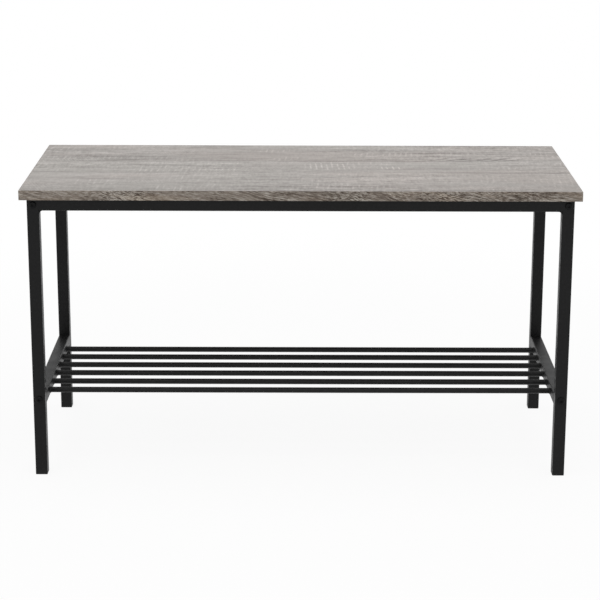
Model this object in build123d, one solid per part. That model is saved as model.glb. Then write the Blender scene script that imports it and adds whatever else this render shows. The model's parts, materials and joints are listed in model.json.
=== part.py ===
from build123d import *
import os

# Entryway bench: board seat on a black square-tube frame, with a rod shelf for shoes below.
# Millimetres. X runs along the bench, Y from its front (-Y) to its back, Z up from the floor.

# Overall size
HEIGHT = 494.0
TOP_LENGTH = 915.0
TOP_DEPTH = 380.0
OVERHANG_ENDS = 11.0
OVERHANG_SIDES = 11.0

# Seat board: chipboard core, printed foil on both faces, printed band on each edge
TOP_THICKNESS = 16.0
FOIL_THICKNESS = 0.5
EDGE_BAND_THICKNESS = 0.8
EDGE_BAND_FILLET = 0.5

# Square steel tube of the legs and rails
TUBE = 20.0
TUBE_WALL = 1.2
TUBE_INNER_CORNER = 0.6

# Shelf: two side rails and the rods welded between them
SHELF_HEIGHT = 141.5
ROD_COUNT = 6
ROD_DIAMETER = 9.5
ROD_WALL = 1.0
ROD_DROP = 2.5

# Button-head bolts that hold the side rails between the legs
BOLT_DIAMETER = 6.0
BOLT_HEAD_DIAMETER = 12.0
BOLT_HEAD_HEIGHT = 3.3
BOLT_HEAD_RIM = 0.8
BOLT_HEAD_FLAT = 7.0
BOLT_SOCKET = 4.0
BOLT_SOCKET_DEPTH = 2.0
BOLT_END = 5.0
BOLT_CHAMFER = 0.6
BOLT_HOLE_CLEARANCE = 0.5
NUT_PLATE_THICKNESS = 6.0
NUT_PLATE_CORNER = 1.5
SHELF_BOLT_RISE = 2.0

# Pan-head screws that hold the board, each with its head inside a rail, behind an access hole
SCREW_DIAMETER = 4.0
SCREW_HEAD_DIAMETER = 8.0
SCREW_HEAD_HEIGHT = 2.4
SCREW_HEAD_FILLET = 1.2
SCREW_POINT = 3.0
SCREW_COVER = 5.5
SCREW_RECESS_LENGTH = 4.4
SCREW_RECESS_WIDTH = 1.0
SCREW_RECESS_DEPTH = 1.2
SCREW_HOLE_CLEARANCE = 0.5
SCREW_ACCESS_CLEARANCE = 2.0
SCREW_END_DISTANCE = 110.0
PILOT_SPARE = 0.5

# Plastic plugs in the leg ends
FOOT_FLANGE = 3.0
FOOT_FLANGE_FILLET = 0.8
FOOT_INSERT = 16.0
FOOT_WALL = 2.0
FOOT_RIB = 0.6
FOOT_RIB_HEIGHT = 2.0
FOOT_RIB_COUNT = 3
FOOT_CLEARANCE = 0.15

# Welds
CORNER_WELD = 5.5
CORNER_WELD_HOLLOW = 0.8
ROD_WELD = 1.5
ROD_WELD_LIP = 0.2
SEAM_RECESS = 0.1
SEAM_DEPTH = 0.6

# Gap left round bolts, screws and rods where they sit in a hole or a weld
FIT_GAP = 0.05

# Places worked out from the sizes above
TUBE_CORNER = TUBE_WALL + TUBE_INNER_CORNER
TUBE_INSIDE = TUBE - 2 * TUBE_WALL
BOARD_UNDERSIDE = HEIGHT - TOP_THICKNESS
RAIL_Z = BOARD_UNDERSIDE - TUBE / 2
RAIL_BOTTOM = BOARD_UNDERSIDE - TUBE
SHELF_RAIL_Z = SHELF_HEIGHT - TUBE / 2
ROD_Z = SHELF_RAIL_Z - ROD_DROP
SHELF_BOLT_Z = SHELF_RAIL_Z + SHELF_BOLT_RISE
LEG_X = TOP_LENGTH / 2 - OVERHANG_ENDS - TUBE / 2
LEG_Y = TOP_DEPTH / 2 - OVERHANG_SIDES - TUBE / 2
CLEAR_X = LEG_X - TUBE / 2
CLEAR_Y = LEG_Y - TUBE / 2
ROD_PITCH = 2 * CLEAR_Y / (ROD_COUNT + 1)
BOLT_LENGTH = TUBE + NUT_PLATE_THICKNESS + BOLT_END
BOLT_HOLE = BOLT_DIAMETER + BOLT_HOLE_CLEARANCE
SCREW_SEAT = BOARD_UNDERSIDE - TUBE_WALL
SCREW_LENGTH = TUBE_WALL + TOP_THICKNESS - SCREW_COVER
SCREW_HOLE = SCREW_DIAMETER + SCREW_HOLE_CLEARANCE
SCREW_ACCESS_HOLE = SCREW_HEAD_DIAMETER + SCREW_ACCESS_CLEARANCE

SIDES = {"left": -1, "right": 1}
FACES = {"front": -1, "back": 1}
ALONG_X = Plane.YZ
ALONG_Y = Plane.ZX
ALONG_Z = Plane.XY


def save(name, shapes):
    """Write one node, a single solid or a group of separate solids."""
    solids = [solid for shape in shapes for solid in shape.solids()]
    body = solids[0] if len(solids) == 1 else Compound(children=solids)
    export_step(body, f"parts/{name}.step")


def box_between(low, high):
    """Box from its lowest corner to its highest corner."""
    size = [b - a for a, b in zip(low, high)]
    return Pos(*low) * Box(*size, align=(Align.MIN, Align.MIN, Align.MIN))


def square_tube(plane, start, length):
    """Hollow square tube that runs from start along the normal of a main plane."""
    outside = RectangleRounded(TUBE, TUBE, TUBE_CORNER)
    inside = RectangleRounded(TUBE_INSIDE, TUBE_INSIDE, TUBE_INNER_CORNER)
    return Pos(*start) * extrude(plane * (outside - inside), length)


def hole(plane, centre, diameter, length):
    """Cutter for a round hole, centred on a point and running along a plane's normal."""
    return Pos(*centre) * extrude(plane * Circle(diameter / 2), length / 2, both=True)


# Screws that hold the board: three under each long rail, one under each side rail
SCREW_X = CLEAR_X - SCREW_END_DISTANCE
SCREW_PLACES = [(x, face * LEG_Y) for face in FACES.values() for x in (-SCREW_X, 0, SCREW_X)]
SCREW_PLACES += [(side * LEG_X, 0) for side in SIDES.values()]


def screw_holes(part):
    """Cut the screw holes in a rail's upper wall and the access holes in its lower wall."""
    for x, y in SCREW_PLACES:
        part -= hole(ALONG_Z, (x, y, BOARD_UNDERSIDE), SCREW_HOLE, TUBE)
        part -= hole(ALONG_Z, (x, y, RAIL_BOTTOM), SCREW_ACCESS_HOLE, TUBE)
    return part


# Seat board
def pilot_holes(part):
    """Cut the blind holes for the screws in the underside of the board."""
    depth = TOP_THICKNESS - SCREW_COVER + PILOT_SPARE
    for x, y in SCREW_PLACES:
        part -= hole(ALONG_Z, (x, y, BOARD_UNDERSIDE), SCREW_DIAMETER + 2 * FIT_GAP, 2 * depth)
    return part


def board_layer(bottom, top):
    """One flat layer of the board, inside the edge bands."""
    x = TOP_LENGTH / 2 - EDGE_BAND_THICKNESS
    y = TOP_DEPTH / 2 - EDGE_BAND_THICKNESS
    return box_between((-x, -y, bottom), (x, y, top))


def edge_band_long(face):
    """Edge band along the front or back of the board, over its whole length, eased outside."""
    band = Box(TOP_LENGTH, EDGE_BAND_THICKNESS, TOP_THICKNESS)
    inner_face = band.faces().sort_by(Axis.Y)[0 if face > 0 else -1]
    band = fillet(band.edges() - inner_face.edges(), EDGE_BAND_FILLET)
    y = face * (TOP_DEPTH - EDGE_BAND_THICKNESS) / 2
    return Pos(0, y, HEIGHT - TOP_THICKNESS / 2) * band


def edge_band_short(side):
    """Edge band on one end of the board, between the long bands, eased outside."""
    band = Box(EDGE_BAND_THICKNESS, TOP_DEPTH - 2 * EDGE_BAND_THICKNESS, TOP_THICKNESS)
    outer_face = band.faces().sort_by(Axis.X)[-1 if side > 0 else 0]
    band = fillet(outer_face.edges().filter_by(Axis.Y), EDGE_BAND_FILLET)
    x = side * (TOP_LENGTH - EDGE_BAND_THICKNESS) / 2
    return Pos(x, 0, HEIGHT - TOP_THICKNESS / 2) * band


def save_board():
    core_bottom = BOARD_UNDERSIDE + FOIL_THICKNESS
    core_top = HEIGHT - FOIL_THICKNESS
    save("seat_board_core", [pilot_holes(board_layer(core_bottom, core_top))])
    save("seat_top_foil", [board_layer(core_top, HEIGHT)])
    save("seat_underside_foil", [pilot_holes(board_layer(BOARD_UNDERSIDE, core_bottom))])
    for face, sign in FACES.items():
        save(f"edge_band_{face}", [edge_band_long(sign)])
    for side, sign in SIDES.items():
        save(f"edge_band_{side}", [edge_band_short(sign)])


# Legs and rails
def leg(side, face):
    """Upright tube from its foot plug to the board, drilled for both bolts."""
    tube = square_tube(ALONG_Z, (side * LEG_X, face * LEG_Y, FOOT_FLANGE), BOARD_UNDERSIDE - FOOT_FLANGE)
    for z in (RAIL_Z, SHELF_BOLT_Z):
        tube -= hole(ALONG_Y, (side * LEG_X, face * LEG_Y, z), BOLT_HOLE, 2 * TUBE)
    return tube


def long_rail(face):
    """Rail under the front or back of the board, between two legs."""
    return screw_holes(square_tube(ALONG_X, (-CLEAR_X, face * LEG_Y, RAIL_Z), 2 * CLEAR_X))


def side_rail(side, z):
    """Rail from a front leg to the back leg behind it."""
    return square_tube(ALONG_Y, (side * LEG_X, -CLEAR_Y, z), 2 * CLEAR_Y)


def save_frame():
    for face, y_sign in FACES.items():
        for side, x_sign in SIDES.items():
            save(f"{face}_{side}_leg", [leg(x_sign, y_sign)])
        save(f"{face}_seat_rail", [long_rail(y_sign)])
    for side, x_sign in SIDES.items():
        save(f"{side}_seat_rail", [screw_holes(side_rail(x_sign, RAIL_Z))])
        save(f"{side}_shelf_rail", [side_rail(x_sign, SHELF_RAIL_Z)])


# Shelf rods, evenly spaced between the front and back legs
def rod_y(number):
    return -CLEAR_Y + number * ROD_PITCH


def rod(number):
    """Round tube from one shelf rail to the other."""
    ring = Circle(ROD_DIAMETER / 2) - Circle(ROD_DIAMETER / 2 - ROD_WALL)
    return Pos(-CLEAR_X, rod_y(number), ROD_Z) * extrude(ALONG_X * ring, 2 * CLEAR_X)


def rod_weld(side, number):
    """Weld bead round a rod's end, on the inner face of the shelf rail."""
    inside = ROD_DIAMETER / 2 + FIT_GAP
    bead = Cone(inside + ROD_WELD, inside + ROD_WELD_LIP, ROD_WELD)
    bead -= Cylinder(inside, 2 * ROD_WELD)
    place = Pos(side * (CLEAR_X - ROD_WELD / 2), rod_y(number), ROD_Z)
    return place * Rot(0, -90 * side, 0) * bead


def save_shelf():
    numbers = range(1, ROD_COUNT + 1)
    for number in numbers:
        save(f"shelf_rod_{number}", [rod(number)])
    save("shelf_rod_welds", [rod_weld(side, number) for side in SIDES.values() for number in numbers])


# Frame welds: a bead under each end of a long rail, and its seams filled on both faces
def corner_bead(side, face):
    """Slightly hollow bead in the corner under a long rail, against the leg."""
    middle = CORNER_WELD / 2 - CORNER_WELD_HOLLOW
    outline = Polyline((0, -CORNER_WELD), (0, 0), (CORNER_WELD, 0))
    outline += ThreePointArc((CORNER_WELD, 0), (middle, -middle), (0, -CORNER_WELD))
    width = TUBE - 2 * TUBE_CORNER
    bead = extrude(Plane.XZ * make_face(outline), width / 2, both=True)
    if side > 0:
        bead = mirror(bead, Plane.YZ)
    return Pos(side * CLEAR_X, face * LEG_Y, RAIL_BOTTOM) * bead


def seam_fill(side, face, y_sign):
    """Weld metal between a rail's end and the rounded edge of the leg, on one face."""
    leg_outline = extrude(RectangleRounded(TUBE, TUBE, TUBE_CORNER), TUBE, both=True)
    low_y = TUBE / 2 - SEAM_DEPTH * TUBE_CORNER
    high_y = TUBE / 2 - SEAM_RECESS * TUBE_CORNER
    low = (TUBE / 2 - TUBE_CORNER, low_y, -TUBE / 2 + TUBE_CORNER)
    high = (TUBE / 2, high_y, TUBE / 2)
    fill = box_between(low, high) - leg_outline
    if side > 0:
        fill = mirror(fill, Plane.YZ)
    if y_sign < 0:
        fill = mirror(fill, Plane.XZ)
    return Pos(side * LEG_X, face * LEG_Y, RAIL_Z) * fill


def save_welds():
    for face, y_sign in FACES.items():
        welds = [corner_bead(side, y_sign) for side in SIDES.values()]
        welds += [seam_fill(side, y_sign, turn) for side in SIDES.values() for turn in (-1, 1)]
        save(f"{face}_frame_welds", welds)


# Bolts and threaded plates of the side rails
def bolt():
    """Button-head bolt along Z, with the underside of its head at the origin."""
    head_radius = BOLT_HEAD_DIAMETER / 2
    flat_radius = BOLT_HEAD_FLAT / 2
    rim = (head_radius, BOLT_HEAD_RIM)
    crown = (flat_radius, BOLT_HEAD_HEIGHT)
    outline = Polyline(crown, (0, BOLT_HEAD_HEIGHT), (0, 0), (head_radius, 0), rim)
    outline += TangentArc(rim, crown, tangent=(0, 1))
    head = revolve(Plane.XZ * make_face(outline), Axis.Z)
    socket = extrude(RegularPolygon(BOLT_SOCKET / 2, 6, major_radius=False), BOLT_SOCKET_DEPTH)
    head -= Pos(0, 0, BOLT_HEAD_HEIGHT - BOLT_SOCKET_DEPTH) * socket
    shank = Pos(0, 0, -BOLT_LENGTH / 2) * Cylinder(BOLT_DIAMETER / 2, BOLT_LENGTH)
    shank = chamfer(shank.edges().sort_by(Axis.Z)[0], BOLT_CHAMFER)
    return head + shank


def bolts(z):
    """The four bolts at one height, heads on the outer faces of the legs."""
    turned = {face: Rot(-90 * face, 0, 0) * bolt() for face in FACES.values()}
    head_y = LEG_Y + TUBE / 2
    places = [(side, face) for side in SIDES.values() for face in FACES.values()]
    return [Pos(side * LEG_X, face * head_y, z) * turned[face] for side, face in places]


def nut_plates(rail_z, bolt_z):
    """Threaded plates inside both ends of the side rails at one height."""
    outline = RectangleRounded(TUBE_INSIDE, TUBE_INSIDE, NUT_PLATE_CORNER)
    plate = extrude(ALONG_Y * outline, NUT_PLATE_THICKNESS / 2, both=True)
    thread = BOLT_DIAMETER + 2 * FIT_GAP
    plate -= hole(ALONG_Y, (0, 0, bolt_z - rail_z), thread, 2 * NUT_PLATE_THICKNESS)
    y = CLEAR_Y - NUT_PLATE_THICKNESS / 2
    places = [(side, face) for side in SIDES.values() for face in FACES.values()]
    return [Pos(side * LEG_X, face * y, rail_z) * plate for side, face in places]


def save_bolts():
    for level, rail_z, bolt_z in (("seat", RAIL_Z, RAIL_Z), ("shelf", SHELF_RAIL_Z, SHELF_BOLT_Z)):
        save(f"{level}_rail_bolts", bolts(bolt_z))
        save(f"{level}_rail_nut_plates", nut_plates(rail_z, bolt_z))


# Screws of the board
def screw():
    """Pan-head screw that points up, with the bearing face of its head at the origin."""
    head = Pos(0, 0, -SCREW_HEAD_HEIGHT / 2) * Cylinder(SCREW_HEAD_DIAMETER / 2, SCREW_HEAD_HEIGHT)
    head = fillet(head.edges().sort_by(Axis.Z)[0], SCREW_HEAD_FILLET)
    for angle in (0, 90):
        slot = Box(SCREW_RECESS_LENGTH, SCREW_RECESS_WIDTH, 2 * SCREW_RECESS_DEPTH)
        head -= Pos(0, 0, -SCREW_HEAD_HEIGHT) * Rot(0, 0, angle) * slot
    straight = SCREW_LENGTH - SCREW_POINT
    shank = Pos(0, 0, straight / 2) * Cylinder(SCREW_DIAMETER / 2, straight)
    point = Pos(0, 0, straight + SCREW_POINT / 2) * Cone(SCREW_DIAMETER / 2, 0, SCREW_POINT)
    return head + shank + point


def save_screws():
    template = screw()
    save("seat_board_screws", [Pos(x, y, SCREW_SEAT) * template for x, y in SCREW_PLACES])


# Foot plugs
def foot_plug():
    """Plastic plug: a flange under the tube's end and a ribbed hollow insert inside it."""
    flange = extrude(RectangleRounded(TUBE, TUBE, TUBE_CORNER), FOOT_FLANGE)
    flange = fillet(flange.faces().sort_by(Axis.Z)[0].edges(), FOOT_FLANGE_FILLET)
    rib_width = TUBE_INSIDE - 2 * FOOT_CLEARANCE
    insert_width = rib_width - 2 * FOOT_RIB
    insert = Box(insert_width, insert_width, FOOT_INSERT, align=(Align.CENTER, Align.CENTER, Align.MIN))
    rib = Box(rib_width, rib_width, FOOT_RIB_HEIGHT)
    rib = fillet(rib.edges().filter_by(Axis.Z), TUBE_INNER_CORNER)
    rib_pitch = FOOT_INSERT / (FOOT_RIB_COUNT + 1)
    for number in range(1, FOOT_RIB_COUNT + 1):
        insert += Pos(0, 0, number * rib_pitch) * rib
    hollow = insert_width - 2 * FOOT_WALL
    insert -= Box(hollow, hollow, FOOT_INSERT, align=(Align.CENTER, Align.CENTER, Align.MIN))
    return flange + Pos(0, 0, FOOT_FLANGE) * insert


def save_feet():
    template = foot_plug()
    for face, y_sign in FACES.items():
        for side, x_sign in SIDES.items():
            save(f"{face}_{side}_foot_plug", [Pos(x_sign * LEG_X, y_sign * LEG_Y, 0) * template])


os.makedirs("parts", exist_ok=True)
save_board()
save_frame()
save_shelf()
save_welds()
save_bolts()
save_screws()
save_feet()
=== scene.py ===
import json
import math

import bpy
from mathutils import Matrix, Vector


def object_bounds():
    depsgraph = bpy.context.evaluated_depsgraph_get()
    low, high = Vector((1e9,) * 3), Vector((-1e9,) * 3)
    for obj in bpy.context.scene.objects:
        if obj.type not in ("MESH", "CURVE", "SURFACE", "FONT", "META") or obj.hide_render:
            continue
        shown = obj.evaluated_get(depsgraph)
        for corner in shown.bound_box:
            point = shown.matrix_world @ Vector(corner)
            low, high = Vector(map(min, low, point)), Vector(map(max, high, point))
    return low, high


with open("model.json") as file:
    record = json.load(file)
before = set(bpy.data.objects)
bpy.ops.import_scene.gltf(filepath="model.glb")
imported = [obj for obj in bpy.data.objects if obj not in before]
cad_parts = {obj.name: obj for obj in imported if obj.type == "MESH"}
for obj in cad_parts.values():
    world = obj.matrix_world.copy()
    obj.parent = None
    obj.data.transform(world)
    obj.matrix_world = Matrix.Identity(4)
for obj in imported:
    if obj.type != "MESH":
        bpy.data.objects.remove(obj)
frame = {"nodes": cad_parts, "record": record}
cad_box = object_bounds()

# Entryway bench: procedural finishes for the board, the powder-coated frame and the fixings.
# Metres. X runs along the bench, Y from its front (-Y) to its back, Z up from the floor.
# A scale is a noise's cells per metre. Limits are the two values between which something fades.


def screen_colour(red, green, blue):
    """A colour given as screen values from 0 to 255, as linear light."""
    shares = [value / 255 for value in (red, green, blue)]
    linear = [share / 12.92 if share <= 0.04045 else ((share + 0.055) / 1.055) ** 2.4 for share in shares]
    return (*linear, 1.0)


def grey(light):
    """A neutral colour of this much linear light."""
    return (light, light, light, 1.0)


# Camera
CAMERA_PLACE = (-0.003, -3.067, 1.143)
CAMERA_PITCH = math.radians(14.24)
CAMERA_YAW = math.radians(-0.04)
CAMERA_ROLL = math.radians(0.16)
CAMERA_SENSOR = 36.0
CAMERA_LENS = 109.3
CAMERA_SHIFT = -0.1

# Light: a pale room, a large soft lamp overhead and a weaker one in front
ROOM_LIGHT = 0.5
TOP_LAMP_PLACE = (0.0, -0.3, 2.6)
TOP_LAMP_SIZE = (3.0, 2.0)
TOP_LAMP_POWER = 29.0
FRONT_LAMP_PLACE = (-0.6, -3.2, 2.0)
FRONT_LAMP_SIZE = (2.0, 1.4)
FRONT_LAMP_POWER = 8.0
LAMP_AIM = (0.0, 0.0, 0.3)

# Floor: white, with a faint shadow that fades out between two distances from the bench's middle
FLOOR_SIZE = 60.0
FLOOR_PAINT = grey(0.8)
FLOOR_SHADOW_SHARE = 0.09
FLOOR_SHADOW_LIMITS = (0.64, 1.6)

# Shared by the finishes
WHITE = grey(1.0)
RISING = (0.0, 1.0)
FALLING = (1.0, 0.0)
NOISE_LIMITS = (0.3, 0.7)
DETAIL = 2.0
FINE_DETAIL = 3.0

# Seat print: lamellas side by side, each with its own tone and darker towards the front
SEAT_TONE = 0.504
SEAT_SEED = 9.9
LAMELLA_WIDTH = 0.095
LAMELLA_SLOPE = 0.05
LAMELLA_SEED_STEP = 3.7
# Tones of the lamellas by their number, which is 0 in the middle and grows towards the back
LAMELLA_TONES = {-2: -0.059, -1: -0.001, 0: 0.003, 1: -0.01, 2: 0.016}

# Streaks along the grain as (length, width, contrast), livelier in some places, the long ones calmer in front
LONG_STREAKS = ((0.35, 0.018, 0.43), (0.11, 0.006, 0.42))
SHORT_STREAKS = ((0.03, 0.0035, 0.36), (0.02, 0.0014, 0.52), (0.0045, 0.02, 0.28))
STREAK_ROUGHNESS = 0.6
WANDER = 0.012
WANDER_SCALE = (2.5, 9.0)
LIVELINESS = (0.6, 1.3)
LIVELY_SCALE = (3.0, 10.0)
LIVELY_SEED = 14.4
LIVELY_LIMITS = (0.35, 0.65)
FRONT_CALM = 0.55
FRONT_LIMITS = (-0.11, 0.02)

# Single dark lines and pores as (length, width, limits, contrast, seed step)
DARK_MARKS = ((0.2, 0.004, (0.6, 0.72), 0.12, 1.3), (0.018, 0.0011, (0.58, 0.72), 0.12, 0.0))

# Seams between lamellas, faint in places and dark around two points
SEAM_WIDTH = 0.006
SEAM_CONTRAST = 0.26
FAINT_SEAM = 0.35
FAINT_SEAM_SCALE = 4.0
FAINT_SEAM_LIMITS = (0.45, 0.65)
DARK_SEAMS = ((0.09, LAMELLA_WIDTH / 2), (0.33, -LAMELLA_WIDTH / 2))
DARK_SEAM_HALF_SIZE = (0.15, 0.02)
DARK_SEAM_LIMITS = (0.6, 1.0)

# Cathedral figure: broken lines that leave the front seam of one lamella and rise to the right
FIGURE_LAMELLA = 1
FIGURE_START = 0.17
FIGURE_LENGTH = 0.22
FIGURE_HEIGHT = 0.045
FIGURE_PITCH = 0.034
FIGURE_CURVE = 0.19
FIGURE_CONTRAST = 0.25
FIGURE_LINE_LIMITS = (-0.2, 0.9)
FIGURE_BEND = 0.06
FIGURE_BEND_SCALE = (9.0, 24.0)
FIGURE_BROKEN_SHARE = 0.35
FIGURE_BREAK_SCALE = (22.0, 60.0)
FIGURE_BREAK_LIMITS = (0.35, 0.6)

# Saw marks in loose patches as (pitch, slant, patch length, patch width, seed, contrast)
SAW_MARKS = ((0.01, -0.08, 0.13, 0.045, 3.0, 0.11), (0.0052, 0.35, 0.16, 0.06, 8.0, 0.105))
SAW_LINE_LIMITS = (0.2, 1.0)
SAW_WOBBLE = 5.0
SAW_WOBBLE_SCALE = (25.0, 12.0)
SAW_BREAK_SCALE = (130.0, 40.0)
SAW_BREAK_LIMITS = (0.35, 0.6)
SAW_PATCH_LIMITS = (0.5, 0.68)

# Ladders of saw marks as (centre, half size), and their lines as (pitch, slant, seed)
LADDERS = (((0.051, 0.009), (0.05, 0.035)), ((0.155, -0.006), (0.028, 0.014)))
LADDER_LIMITS = (0.7, 1.1)
LADDER_LINES = (0.0094, 0.055, 3.0)
LADDER_CONTRAST = 0.16

# Edge print: broad tones, bold strokes and fine ones as (length, width, contrast), slanted and bent
EDGE_TONE = 0.5
EDGE_TONES = (0.07, 0.014, 0.6)
EDGE_BOLD = (0.018, 0.0013, 1.5)
EDGE_FINE = (0.006, 0.0008, 2.6)
EDGE_SLANT = 0.2
EDGE_BEND = 0.03
EDGE_BEND_DETAIL = 1.0
EDGE_SEED = 5.5
# Bold and fine strokes take turns, with shares that add up to this
EDGE_SHARES = 1.3
# Noises along the band as (scale, row)
EDGE_BEND_NOISE = (8.0, 0.0)
EDGE_BOLD_NOISE = (9.0, 3.0)
EDGE_LIVELY_NOISE = (14.0, 7.0)
EDGE_LINE_NOISE = (20.0, 11.0)
# A thin dark line along the band's upper edge, broken in places
EDGE_LINE = 0.0015
EDGE_LINE_CONTRAST = 0.2
EDGE_LINE_LIMITS = (0.4, 0.6)

# Colours of both prints along their tone, and tints that drift over them
SEAT_COLOURS = (
    (0.2, screen_colour(104, 100, 96)),
    (0.4, screen_colour(148, 143, 139)),
    (0.55, screen_colour(174, 169, 165)),
    (0.75, screen_colour(204, 199, 195)),
    (0.9, screen_colour(224, 219, 215)),
)
EDGE_COLOURS = (
    (0.2, screen_colour(68, 57, 47)),
    (0.5, screen_colour(137, 126, 116)),
    (0.8, screen_colour(194, 187, 178)),
)
GREEN_TINT = (0.99, 1.0, 0.994, 1.0)
WARM_TINT = (1.017, 0.997, 0.99, 1.0)
BROWN_TINT = (1.04, 1.0, 0.945, 1.0)
SEAT_TINTS = ((0.38, GREEN_TINT), (0.5, WHITE), (0.62, WARM_TINT))
SEAT_TINT_SCALE = (2.5, 12.0)
EDGE_TINTS = ((0.35, GREEN_TINT), (0.5, WHITE), (0.65, BROWN_TINT))
EDGE_TINT_SCALE = (9.0, 60.0)
PRINT_RELIEF = 0.0003
PRINT_RELIEF_STRENGTH = 0.5
PRINT_ROUGHNESS = 0.62
PRINT_SPECULAR = 0.3

# Underside foil and the core's chipboard, with a dark and a pale colour
FOIL_COLOURS = (screen_colour(150, 146, 142), screen_colour(172, 168, 164))
FOIL_SCALE = (6.0, 150.0)
FOIL_ROUGHNESS = 0.6
FOIL_SPECULAR = 0.3
CHIP_COLOURS = (screen_colour(140, 108, 72), screen_colour(205, 172, 128))
CHIP_SCALE = (300.0, 300.0)
CHIP_UPRIGHT_SCALE = 600.0
CHIP_LIMITS = (0.35, 0.65)
CHIP_ROUGHNESS = 0.85

# Powder coat as (roughness, linear light), mottled, a little bluish, with a faint orange peel
FRAME_PAINT = (0.43, 0.0052)
# The rods' paint is the frame's paint made lighter: painted light for the brighter light that the round rods
# catch
ROD_PAINT_WITH_PAINTED_LIGHT = (0.42, 0.0075)
PAINT_SPECULAR = 0.2
PAINT_BLUE = 1.04
MOTTLE_SHARES = (0.55, 1.45)
MOTTLE_SCALE = 240.0
SHINE_SPREAD = 0.04
SHINE_SCALE = 60.0
PEEL_SCALE = 900.0
PEEL_HEIGHT = 0.00002
PEEL_STRENGTH = 0.3

# Black zinc on the bolts
ZINC_COLOURS = ((0.0025, 0.0025, 0.003, 1.0), (0.004, 0.004, 0.0045, 1.0))
ZINC_SCALE = 1500.0
ZINC_ROUGHNESS = (0.34, 0.44)
ZINC_SPECULAR = 0.14

# Bare steel as (colour, roughness)
PLATE_STEEL = ((0.35, 0.35, 0.36, 1.0), 0.5)
SCREW_STEEL = ((0.55, 0.55, 0.56, 1.0), 0.3)
STEEL_SCALE = 1200.0
STEEL_PALER = 1.15
STEEL_SHINE_SPREAD = 0.06

# Plastic of the feet
FOOT_COLOURS = (grey(0.006), grey(0.009))
FOOT_SCALE = 1800.0
FOOT_RELIEF = 0.00003
FOOT_RELIEF_STRENGTH = 0.5
FOOT_ROUGHNESS = 0.55
FOOT_SPECULAR = 0.25


class Graph:
    """A material's node tree, with one short call for each node."""

    def __init__(self, name):
        self.material = bpy.data.materials.new(name)
        self.material.use_nodes = True
        self.tree = self.material.node_tree
        self.tree.nodes.clear()
        self.place = self.add("ShaderNodeTexCoord").outputs["Object"]
        axes = self.add("ShaderNodeSeparateXYZ", {"Vector": self.place}).outputs
        self.x = axes["X"]
        self.y = axes["Y"]
        self.z = axes["Z"]

    def add(self, kind, inputs=None, **settings):
        """A node with its settings; each input is a value or another node's output."""
        node = self.tree.nodes.new(kind)
        for name, value in settings.items():
            setattr(node, name, value)
        for name, value in (inputs or {}).items():
            if isinstance(value, bpy.types.NodeSocket):
                self.tree.links.new(value, node.inputs[name])
            else:
                node.inputs[name].default_value = value
        return node

    def math(self, operation, *values):
        return self.add("ShaderNodeMath", dict(enumerate(values)), operation=operation).outputs[0]

    def plus(self, a, b):
        return self.math("ADD", a, b)

    def minus(self, a, b):
        return self.math("SUBTRACT", a, b)

    def times(self, a, b):
        return self.math("MULTIPLY", a, b)

    def centred(self, value):
        """A value from 0 to 1, moved to lie around 0."""
        return self.plus(value, -0.5)

    def same(self, a, b):
        """1 where two whole numbers are the same, 0 elsewhere."""
        return self.math("COMPARE", a, b, 0.1)

    def length(self, a, b):
        """Length of the vector with these two sides."""
        return self.math("SQRT", self.plus(self.times(a, a), self.times(b, b)))

    def vector(self, x, y, z):
        return self.add("ShaderNodeCombineXYZ", {"X": x, "Y": y, "Z": z}).outputs[0]

    def noise(self, vector, scale=1.0, detail=DETAIL, roughness=0.5):
        inputs = {"Vector": vector, "Scale": scale, "Detail": detail, "Roughness": roughness}
        return self.add("ShaderNodeTexNoise", inputs).outputs["Fac"]

    def board_noise(self, scale, seed, detail=DETAIL):
        """Noise over the board, with its scale along X and along Y."""
        place = self.vector(self.times(self.x, scale[0]), self.times(self.y, scale[1]), seed)
        return self.noise(place, detail=detail)

    def spread(self, value, limits, ends=RISING):
        """A value between two limits, smoothly brought between two ends and held there outside."""
        inputs = {"Value": value, "From Min": limits[0], "From Max": limits[1]}
        inputs.update({"To Min": ends[0], "To Max": ends[1]})
        return self.add("ShaderNodeMapRange", inputs, interpolation_type="SMOOTHSTEP").outputs[0]

    def ramp(self, value, stops):
        """Colours along a value, each stop as a position and a colour."""
        node = self.add("ShaderNodeValToRGB", {"Fac": value})
        elements = node.color_ramp.elements
        while len(elements) < len(stops):
            elements.new(1.0)
        for element, (position, colour) in zip(elements, stops):
            element.position = position
            element.color = colour
        return node.outputs["Color"]

    def between(self, value, colours, limits=NOISE_LIMITS):
        """From the first colour to the second as a value goes from one limit to the other."""
        return self.ramp(value, tuple(zip(limits, colours)))

    def tinted(self, colour, tint):
        inputs = {0: 1.0, 6: colour, 7: tint}
        return self.add("ShaderNodeMix", inputs, data_type="RGBA", blend_type="MULTIPLY").outputs[2]

    def bump(self, height, distance, strength):
        inputs = {"Height": height, "Distance": distance, "Strength": strength}
        return self.add("ShaderNodeBump", inputs).outputs["Normal"]

    def surface(self, **inputs):
        """Closes the tree with a Principled surface; input names have _ for spaces."""
        named = {name.replace("_", " "): value for name, value in inputs.items()}
        shader = self.add("ShaderNodeBsdfPrincipled", named)
        self.add("ShaderNodeOutputMaterial", {"Surface": shader.outputs[0]})
        return self.material


# Marks of the wood print
def streaks(g, along, across, seed, length, width):
    """Noise drawn out along the grain into marks of about this length and width."""
    place = g.vector(g.times(along, 1 / length), g.times(across, 1 / width), seed)
    return g.noise(place, detail=FINE_DETAIL, roughness=STREAK_ROUGHNESS)


def streak_sum(g, sizes, along, across, seed):
    """Streaks of several sizes, added up around 0."""
    total = 0.0
    for length, width, contrast in sizes:
        mark = g.centred(streaks(g, along, across, seed, length, width))
        total = g.plus(total, g.times(mark, contrast))
    return total


def ellipse(g, centre, half_size):
    """Distance from a point on the seat, 1 on the ellipse of this half size."""
    x = g.times(g.plus(g.x, -centre[0]), 1 / half_size[0])
    y = g.times(g.plus(g.y, -centre[1]), 1 / half_size[1])
    return g.length(x, y)


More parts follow.
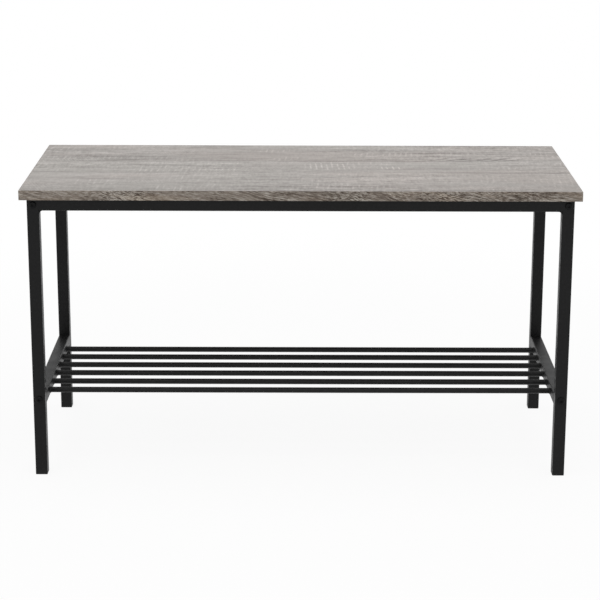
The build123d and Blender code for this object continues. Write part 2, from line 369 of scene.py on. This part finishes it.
def seat_grain(g, across, seed):
    """Streaks along the seat, stronger in some places than in others."""
    lively = g.spread(g.board_noise(LIVELY_SCALE, LIVELY_SEED), LIVELY_LIMITS, LIVELINESS)
    calm = g.spread(g.y, FRONT_LIMITS, (FRONT_CALM, 1.0))
    long_marks = g.times(streak_sum(g, LONG_STREAKS, g.x, across, seed), calm)
    short_marks = streak_sum(g, SHORT_STREAKS, g.x, across, seed)
    return g.times(g.plus(long_marks, short_marks), lively)


def lamella_tone(g, number, into_lamella):
    """Each lamella's own tone, darker towards its front."""
    tone = g.times(g.centred(into_lamella), LAMELLA_SLOPE)
    for lamella, own in LAMELLA_TONES.items():
        tone = g.plus(tone, g.times(g.same(number, lamella), own))
    return tone


def seams(g, into_lamella, seed):
    """Seams between lamellas, fading in and out: 0 to 1."""
    line = g.spread(into_lamella, (0.0, SEAM_WIDTH / LAMELLA_WIDTH), FALLING)
    stretches = g.noise(g.vector(g.times(g.x, FAINT_SEAM_SCALE), seed, 0.0))
    dark = g.spread(stretches, FAINT_SEAM_LIMITS, (0.0, FAINT_SEAM))
    for centre in DARK_SEAMS:
        stretch = g.spread(ellipse(g, centre, DARK_SEAM_HALF_SIZE), DARK_SEAM_LIMITS, FALLING)
        dark = g.math("MAXIMUM", dark, stretch)
    return g.times(line, dark)


def cathedral_figure(g, number):
    """Lines that leave a seam at a flat angle and grow steeper: 0 to 1."""
    seam = (FIGURE_LAMELLA - 0.5) * LAMELLA_WIDTH
    end = FIGURE_START + FIGURE_LENGTH
    height = g.math("MAXIMUM", g.plus(g.y, -seam), 0.0)
    bend = g.times(g.board_noise(FIGURE_BEND_SCALE, g.z, FINE_DETAIL), FIGURE_BEND)
    foot = g.plus(g.minus(g.x, g.math("SQRT", g.times(height, FIGURE_CURVE))), bend)
    breaks = g.board_noise(FIGURE_BREAK_SCALE, g.z)
    figure = g.spread(g.math("SINE", g.times(foot, 2 * math.pi / FIGURE_PITCH)), FIGURE_LINE_LIMITS)
    for share in (
        g.spread(foot, (FIGURE_START, FIGURE_START + FIGURE_PITCH)),
        g.spread(foot, (end - 2 * FIGURE_PITCH, end), FALLING),
        g.spread(height, (FIGURE_HEIGHT / 2, FIGURE_HEIGHT), FALLING),
        g.spread(breaks, FIGURE_BREAK_LIMITS, (FIGURE_BROKEN_SHARE, 1.0)),
        g.same(number, FIGURE_LAMELLA),
    ):
        figure = g.times(figure, share)
    return figure


def saw_lines(g, pitch, slant, seed):
    """Thin light lines across the grain, left by a saw and broken in places: 0 to 1."""
    lean = g.plus(g.x, g.times(g.y, slant))
    wobble = g.times(g.board_noise(SAW_WOBBLE_SCALE, seed), SAW_WOBBLE)
    phase = g.plus(g.times(lean, 2 * math.pi / pitch), wobble)
    breaks = g.spread(g.board_noise(SAW_BREAK_SCALE, seed), SAW_BREAK_LIMITS)
    return g.times(g.spread(g.math("SINE", phase), SAW_LINE_LIMITS), breaks)


def loose_saw_marks(g, pitch, slant, patch_length, patch_width, seed):
    """Saw marks in loose patches: 0 to 1."""
    patches = g.spread(g.board_noise((1 / patch_length, 1 / patch_width), seed), SAW_PATCH_LIMITS)
    return g.times(saw_lines(g, pitch, slant, seed), patches)


def ladder_marks(g):
    """Saw marks that stand side by side like the rungs of a ladder: 0 to 1."""
    places = 0.0
    for centre, half_size in LADDERS:
        inside = g.spread(ellipse(g, centre, half_size), LADDER_LIMITS, FALLING)
        places = g.math("MAXIMUM", places, inside)
    return g.times(saw_lines(g, *LADDER_LINES), places)


# Finishes of the board
def printed(g, tone, colours, drift, tints):
    """Closes a print: its tone as colours and a slight relief, with tints drifting over it."""
    colour = g.tinted(g.ramp(tone, colours), g.ramp(drift, tints))
    normal = g.bump(tone, PRINT_RELIEF, PRINT_RELIEF_STRENGTH)
    return g.surface(
        Base_Color=colour, Roughness=PRINT_ROUGHNESS, Specular_IOR_Level=PRINT_SPECULAR, Normal=normal
    )


def seat_print():
    """Grey-washed, rough-sawn oak print: lamellas, streaks along the board and saw marks across it."""
    g = Graph("seat_print")
    place = g.plus(g.times(g.y, 1 / LAMELLA_WIDTH), 0.5)
    number = g.math("FLOOR", place)
    into_lamella = g.math("FRACT", place)
    seed = g.plus(g.times(number, LAMELLA_SEED_STEP), SEAT_SEED)
    across = g.plus(g.y, g.times(g.centred(g.board_noise(WANDER_SCALE, g.z)), WANDER))

    tone = g.plus(SEAT_TONE, seat_grain(g, across, seed))
    tone = g.plus(tone, lamella_tone(g, number, into_lamella))
    tone = g.plus(tone, g.times(seams(g, into_lamella, seed), -SEAM_CONTRAST))
    for length, width, limits, contrast, step in DARK_MARKS:
        mark = g.spread(streaks(g, g.x, across, g.plus(seed, step), length, width), limits)
        tone = g.plus(tone, g.times(mark, -contrast))
    tone = g.plus(tone, g.times(cathedral_figure(g, number), -FIGURE_CONTRAST))
    for pitch, slant, patch_length, patch_width, saw_seed, contrast in SAW_MARKS:
        marks = loose_saw_marks(g, pitch, slant, patch_length, patch_width, saw_seed)
        tone = g.plus(tone, g.times(marks, contrast))
    tone = g.plus(tone, g.times(ladder_marks(g), LADDER_CONTRAST))
    return printed(g, tone, SEAT_COLOURS, g.board_noise(SEAT_TINT_SCALE, g.z), SEAT_TINTS)


def edge_print(along):
    """A darker print for the edge bands along X or Y, with short slanted strokes."""
    g = Graph(f"edge_print_{along}")
    run = {"x": g.x, "y": g.y}[along]

    def band_noise(scale, row, detail=DETAIL):
        """Noise that changes only along the band, and isn't the same in another row."""
        return g.noise(g.vector(g.times(run, scale), row, EDGE_SEED), detail=detail)

    bend = g.times(band_noise(*EDGE_BEND_NOISE, EDGE_BEND_DETAIL), EDGE_BEND)
    height = g.plus(g.plus(g.z, g.times(run, EDGE_SLANT)), bend)
    bold_share = g.spread(band_noise(*EDGE_BOLD_NOISE), LIVELY_LIMITS)
    fine_share = g.minus(EDGE_SHARES, bold_share)
    marks = 0.0
    for size, share in ((EDGE_TONES, 1.0), (EDGE_BOLD, bold_share), (EDGE_FINE, fine_share)):
        marks = g.plus(marks, g.times(streak_sum(g, (size,), run, height, EDGE_SEED), share))
    lively = g.spread(band_noise(*EDGE_LIVELY_NOISE), LIVELY_LIMITS, LIVELINESS)
    tone = g.plus(EDGE_TONE, g.times(marks, lively))

    top = cad_box[1].z
    line = g.spread(g.z, (top - EDGE_LINE, top - EDGE_LINE / 2))
    line = g.times(line, g.spread(band_noise(*EDGE_LINE_NOISE), EDGE_LINE_LIMITS))
    tone = g.plus(tone, g.times(line, -EDGE_LINE_CONTRAST))
    drift_place = (g.times(run, EDGE_TINT_SCALE[0]), g.times(height, EDGE_TINT_SCALE[1]), EDGE_SEED)
    return printed(g, tone, EDGE_COLOURS, g.noise(g.vector(*drift_place)), EDGE_TINTS)


def underside_foil():
    g = Graph("underside_foil")
    colour = g.between(g.board_noise(FOIL_SCALE, g.z, FINE_DETAIL), FOIL_COLOURS)
    return g.surface(Base_Color=colour, Roughness=FOIL_ROUGHNESS, Specular_IOR_Level=FOIL_SPECULAR)


def chipboard():
    g = Graph("chipboard")
    chips = g.board_noise(CHIP_SCALE, g.times(g.z, CHIP_UPRIGHT_SCALE), FINE_DETAIL)
    return g.surface(Base_Color=g.between(chips, CHIP_COLOURS, CHIP_LIMITS), Roughness=CHIP_ROUGHNESS)


# Finishes of the frame, the fixings and the feet
def powder_coat(name, roughness, light):
    """Black paint baked on, with a mottle and a faint orange peel."""
    g = Graph(name)
    lights = [share * light for share in MOTTLE_SHARES]
    colours = [(value, value, PAINT_BLUE * value, 1.0) for value in lights]
    colour = g.between(g.noise(g.place, MOTTLE_SCALE, FINE_DETAIL), colours)
    patches = g.noise(g.place, SHINE_SCALE, FINE_DETAIL)
    shine = g.spread(patches, NOISE_LIMITS, (roughness - SHINE_SPREAD, roughness + SHINE_SPREAD))
    normal = g.bump(g.noise(g.place, PEEL_SCALE), PEEL_HEIGHT, PEEL_STRENGTH)
    return g.surface(Base_Color=colour, Roughness=shine, Specular_IOR_Level=PAINT_SPECULAR, Normal=normal)


def black_zinc():
    g = Graph("bolt_black")
    grain = g.noise(g.place, ZINC_SCALE)
    shine = g.spread(grain, NOISE_LIMITS, ZINC_ROUGHNESS)
    return g.surface(
        Base_Color=g.between(grain, ZINC_COLOURS), Roughness=shine, Specular_IOR_Level=ZINC_SPECULAR
    )


def bare_steel(name, colour, roughness):
    g = Graph(name)
    grain = g.noise(g.place, STEEL_SCALE, FINE_DETAIL)
    shine = g.spread(grain, NOISE_LIMITS, (roughness - STEEL_SHINE_SPREAD, roughness + STEEL_SHINE_SPREAD))
    paler = tuple(min(1.0, STEEL_PALER * share) for share in colour)
    return g.surface(Base_Color=g.between(grain, (colour, paler)), Metallic=1.0, Roughness=shine)


def foot_plastic():
    g = Graph("foot_plastic")
    grain = g.noise(g.place, FOOT_SCALE)
    colour = g.between(grain, FOOT_COLOURS)
    normal = g.bump(grain, FOOT_RELIEF, FOOT_RELIEF_STRENGTH)
    return g.surface(
        Base_Color=colour, Roughness=FOOT_ROUGHNESS, Specular_IOR_Level=FOOT_SPECULAR, Normal=normal
    )


def dress():
    """Gives each CAD node the finish of its slot, and the end bands a print along their own length."""
    finishes = {
        "chipboard": chipboard(),
        "seat_print": seat_print(),
        "edge_print": edge_print("x"),
        "underside_foil": underside_foil(),
        "frame_paint": powder_coat("frame_paint", *FRAME_PAINT),
        # The rods take a lighter copy of the frame's paint: painted light
        "rod_paint": powder_coat("rod_paint", *ROD_PAINT_WITH_PAINTED_LIGHT),
        "bolt_black": black_zinc(),
        "plate_steel": bare_steel("plate_steel", *PLATE_STEEL),
        "screw_steel": bare_steel("screw_steel", *SCREW_STEEL),
        "foot_plastic": foot_plastic(),
    }
    for part in frame["record"]["subparts"]:
        frame["nodes"][part["node"]].material_slots[0].material = finishes[part["material_slot"]]
    end_print = edge_print("y")
    for side in ("left", "right"):
        frame["nodes"][f"edge_band_{side}"].material_slots[0].material = end_print


# Stage
def seen_ray(tree):
    """1 for rays that show the background itself: from the camera, in a reflection or through glass."""
    path = tree.nodes.new("ShaderNodeLightPath").outputs
    share = path["Is Camera Ray"]
    for name in ("Is Glossy Ray", "Is Transmission Ray"):
        larger = tree.nodes.new("ShaderNodeMath")
        larger.operation = "MAXIMUM"
        tree.links.new(share, larger.inputs[0])
        tree.links.new(path[name], larger.inputs[1])
        share = larger.outputs[0]
    return share


def make_world():
    """A room that looks white and lights the bench more softly than it looks."""
    world = bpy.data.worlds.new("room")
    world.use_nodes = True
    tree = world.node_tree
    background = tree.nodes["Background"]
    background.inputs["Color"].default_value = WHITE
    strength = tree.nodes.new("ShaderNodeMapRange")
    strength.inputs["To Min"].default_value = ROOM_LIGHT
    strength.inputs["To Max"].default_value = 1.0
    tree.links.new(seen_ray(tree), strength.inputs["Value"])
    tree.links.new(strength.outputs[0], background.inputs["Strength"])
    bpy.context.scene.world = world


def make_floor():
    """White floor, seen with only a faint shadow near the bench."""
    mesh = bpy.data.meshes.new("floor")
    half = FLOOR_SIZE / 2
    corners = [(-half, -half, 0), (half, -half, 0), (half, half, 0), (-half, half, 0)]
    mesh.from_pydata(corners, [], [(0, 1, 2, 3)])
    floor = bpy.data.objects.new("floor", mesh)
    bpy.context.scene.collection.objects.link(floor)
    g = Graph("floor_white")
    paint = g.add("ShaderNodeBsdfDiffuse", {"Color": FLOOR_PAINT})
    white = g.add("ShaderNodeBsdfDiffuse", {"Color": WHITE})
    glow = g.add("ShaderNodeEmission", {"Color": WHITE, "Strength": 1.0})
    shadow = g.spread(g.length(g.x, g.y), FLOOR_SHADOW_LIMITS, (FLOOR_SHADOW_SHARE, 0.0))
    seen = g.add("ShaderNodeMixShader", {0: shadow, 1: glow.outputs[0], 2: white.outputs[0]})
    mixed = g.add("ShaderNodeMixShader", {0: seen_ray(g.tree), 1: paint.outputs[0], 2: seen.outputs[0]})
    g.add("ShaderNodeOutputMaterial", {"Surface": mixed.outputs[0]})
    mesh.materials.append(g.material)


def make_lamp(name, place, size, power):
    """A soft rectangular lamp that points at the bench."""
    lamp = bpy.data.lights.new(name, "AREA")
    lamp.shape = "RECTANGLE"
    lamp.size = size[0]
    lamp.size_y = size[1]
    lamp.energy = power
    holder = bpy.data.objects.new(name, lamp)
    holder.location = place
    holder.rotation_euler = (Vector(LAMP_AIM) - Vector(place)).to_track_quat("-Z", "Y").to_euler()
    bpy.context.scene.collection.objects.link(holder)


def make_camera():
    """The photograph's view: from the front, looking down a little."""
    lens = bpy.data.cameras.new("camera")
    lens.sensor_width = CAMERA_SENSOR
    lens.lens = CAMERA_LENS
    lens.shift_y = CAMERA_SHIFT
    camera = bpy.data.objects.new("camera", lens)
    camera.location = CAMERA_PLACE
    look = Matrix.Rotation(CAMERA_YAW, 3, "Z") @ Matrix.Rotation(math.pi / 2 - CAMERA_PITCH, 3, "X")
    camera.rotation_euler = (look @ Matrix.Rotation(CAMERA_ROLL, 3, "Z")).to_euler()
    bpy.context.scene.collection.objects.link(camera)
    bpy.context.scene.camera = camera


dress()
make_world()
make_floor()
make_lamp("top_lamp", TOP_LAMP_PLACE, TOP_LAMP_SIZE, TOP_LAMP_POWER)
make_lamp("front_lamp", FRONT_LAMP_PLACE, FRONT_LAMP_SIZE, FRONT_LAMP_POWER)
make_camera()
bpy.context.scene.view_settings.view_transform = "Standard"
